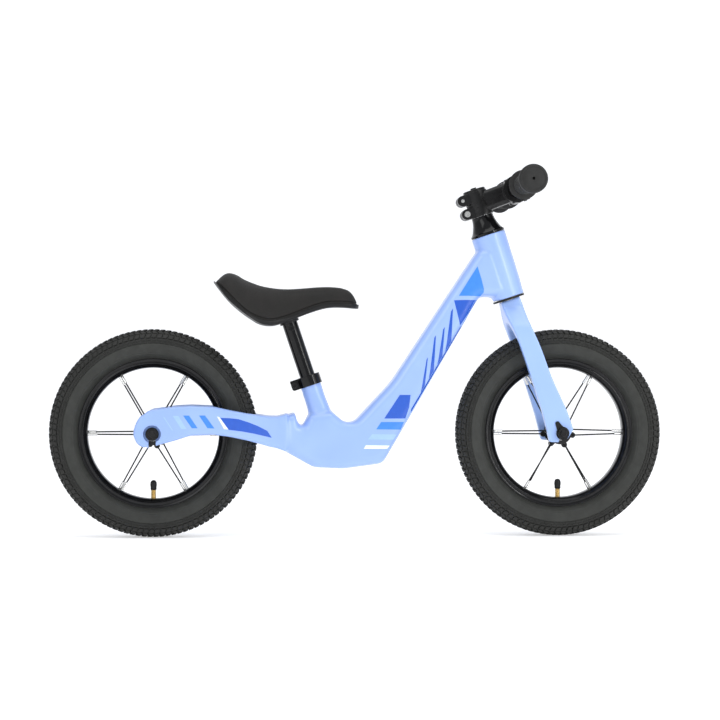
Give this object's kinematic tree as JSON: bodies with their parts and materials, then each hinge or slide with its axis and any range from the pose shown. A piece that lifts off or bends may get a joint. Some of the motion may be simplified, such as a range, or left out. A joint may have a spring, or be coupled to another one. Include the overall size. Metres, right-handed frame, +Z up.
{
  "type": "balance bike",
  "caption": "Child's balance bike with a one-piece low step-through frame, straight fork, spoked pneumatic wheels, flat handlebar and height-adjustable padded saddle.",
  "frame": {"origin": "on the ground, midway between the two axles, in the bike's centre plane", "axes": "+X forward, +Y the rider's left, +Z up"},
  "size_m": [0.887, 0.39, 0.5269],
  "materials": {
    "frame_paint": "satin pale blue paint on cast magnesium alloy",
    "fork_paint": "satin paler blue paint on cast magnesium alloy",
    "tyre_rubber": "matte black moulded rubber",
    "tube_rubber": "smooth black butyl rubber",
    "rim_black": "gloss black coated aluminium",
    "rim_tape": "matte black tape",
    "spoke_black": "gloss black coated steel wire",
    "nipple_nickel": "bright nickel plate",
    "hub_black": "gloss black coated aluminium",
    "steel": "plain turned steel",
    "black_steel": "black oxide steel",
    "brass": "turned brass",
    "cap_plastic": "black moulded plastic",
    "gloss_black_alloy": "gloss black painted aluminium",
    "satin_black_alloy": "satin black anodised aluminium",
    "seal_rubber": "matte black rubber",
    "grip_rubber": "matte ribbed rubber",
    "saddle_vinyl": "matte black leather-grain vinyl",
    "saddle_plastic": "black moulded nylon"
  },
  "bodies": {
    "frame": {"frame": "frame_paint", "lower_head_bearing": "steel", "upper_head_bearing": "steel", "seat_clamp_collar": "gloss_black_alloy", "seat_clamp_bolt": "black_steel", "rear_axle": "steel", "rear_axle_spacers": "black_steel", "rear_axle_nuts": "black_steel", "rear_axle_washers": "black_steel"},
    "fork": {"fork": "fork_paint", "crown_race": "steel", "lower_head_seal": "seal_rubber", "head_compression_ring": "satin_black_alloy", "head_top_cover": "gloss_black_alloy", "steerer_tube": "steel", "star_nut": "steel", "stem_body": "gloss_black_alloy", "stem_faceplate": "gloss_black_alloy", "faceplate_bolts": "black_steel", "stem_pinch_bolts": "steel", "stem_top_cap": "satin_black_alloy", "stem_cap_bolt": "black_steel", "front_axle": "steel", "front_axle_spacers": "black_steel", "front_axle_nuts": "black_steel", "front_retention_washers": "black_steel"},
    "handlebar": {"handlebar": "satin_black_alloy", "grip_left": "grip_rubber", "grip_right": "grip_rubber"},
    "seat": {"seat_post": "gloss_black_alloy", "saddle_pad": "saddle_vinyl", "saddle_base": "saddle_plastic", "saddle_screw": "steel", "saddle_screw_nut": "steel"},
    "front_wheel": {"front_tyre": "tyre_rubber", "front_inner_tube": "tube_rubber", "front_rim": "rim_black", "front_rim_tape": "rim_tape", "front_spokes": "spoke_black", "front_nipples": "nipple_nickel", "front_hub_shell": "hub_black", "front_hub_bearings": "steel", "front_valve_stem": "brass", "front_valve_cap": "cap_plastic"},
    "rear_wheel": {"rear_tyre": "tyre_rubber", "rear_inner_tube": "tube_rubber", "rear_rim": "rim_black", "rear_rim_tape": "rim_tape", "rear_spokes": "spoke_black", "rear_nipples": "nipple_nickel", "rear_hub_shell": "hub_black", "rear_hub_bearings": "steel", "rear_valve_stem": "brass", "rear_valve_cap": "cap_plastic"}
  },
  "joints": [
    {"name": "steering", "type": "hinge", "parent": "frame", "child": "fork", "pos_m": [0.22146, 0, 0.34614], "axis": [-0.309, 0, 0.9511], "continuous": true},
    {"name": "front_wheel_spin", "type": "hinge", "parent": "fork", "child": "front_wheel", "pos_m": [0.2935, 0, 0.15], "axis": [0, 1, 0], "continuous": true},
    {"name": "rear_wheel_spin", "type": "hinge", "parent": "frame", "child": "rear_wheel", "pos_m": [-0.2935, 0, 0.15], "axis": [0, 1, 0], "continuous": true},
    {"name": "bar_tilt", "type": "hinge", "parent": "fork", "child": "handlebar", "pos_m": [0.23153, 0, 0.50319], "axis": [0, 1, 0], "range_deg": [-20, 20]},
    {"name": "seat_height", "type": "slide", "parent": "frame", "child": "seat", "axis": [-0.319, 0, 0.9478], "range_m": [-0.04, 0.043]}
  ]
}
